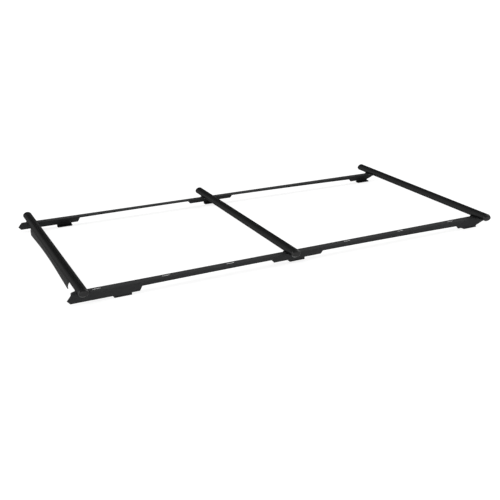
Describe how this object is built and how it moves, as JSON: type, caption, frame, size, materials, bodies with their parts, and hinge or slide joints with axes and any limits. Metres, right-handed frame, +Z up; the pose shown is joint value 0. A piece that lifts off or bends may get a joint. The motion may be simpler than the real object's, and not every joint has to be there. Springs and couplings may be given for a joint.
{
  "type": "roof rack frame with three cross bars",
  "caption": "Open roof rack frame: formed side rails with mounting feet carry oval cross bars and a low wind deflector at the front.",
  "frame": {"origin": "midway along and between the rails, on the plane under the outer foot pads", "axes": "+X to the front of the vehicle, +Y to its left side, +Z up"},
  "size_m": [2.4818, 1.35, 0.0995],
  "materials": {
    "rail_coat": "fine-textured dark grey powder coat, satin",
    "bar_coat": "aluminium extrusion with a satin black powder coat",
    "strip_rubber": "ribbed black rubber",
    "cap_plastic": "fine-grained moulded plastic",
    "saddle_plastic": "matt black moulded plastic",
    "pad_rubber": "matt black rubber",
    "deflector_coat": "satin dark grey powder coat",
    "trim_rubber": "matt black rubber",
    "bracket_coat": "satin black powder coat"
  },
  "bodies": {
    "root": {"side_rail_left": "rail_coat", "side_rail_right": "rail_coat", "cross_bar_front": "bar_coat", "cross_bar_middle": "bar_coat", "cross_bar_rear": "bar_coat", "bar_strip_front": "strip_rubber", "bar_strip_middle": "strip_rubber", "bar_strip_rear": "strip_rubber", "end_cap_front_left": "cap_plastic", "end_cap_front_right": "cap_plastic", "end_cap_middle_left": "cap_plastic", "end_cap_middle_right": "cap_plastic", "end_cap_rear_left": "cap_plastic", "end_cap_rear_right": "cap_plastic", "bar_saddle_front_left": "saddle_plastic", "bar_saddle_front_right": "saddle_plastic", "bar_saddle_middle_left": "saddle_plastic", "bar_saddle_middle_right": "saddle_plastic", "bar_saddle_rear_left": "saddle_plastic", "bar_saddle_rear_right": "saddle_plastic", "foot_pad_front_left": "pad_rubber", "foot_pad_front_right": "pad_rubber", "foot_pad_middle_left": "pad_rubber", "foot_pad_middle_right": "pad_rubber", "foot_pad_rear_left": "pad_rubber", "foot_pad_rear_right": "pad_rubber", "wind_deflector": "deflector_coat", "deflector_edge_trim": "trim_rubber", "deflector_bracket_left": "bracket_coat", "deflector_bracket_centre": "bracket_coat", "deflector_bracket_right": "bracket_coat"}
  },
  "joints": []
}
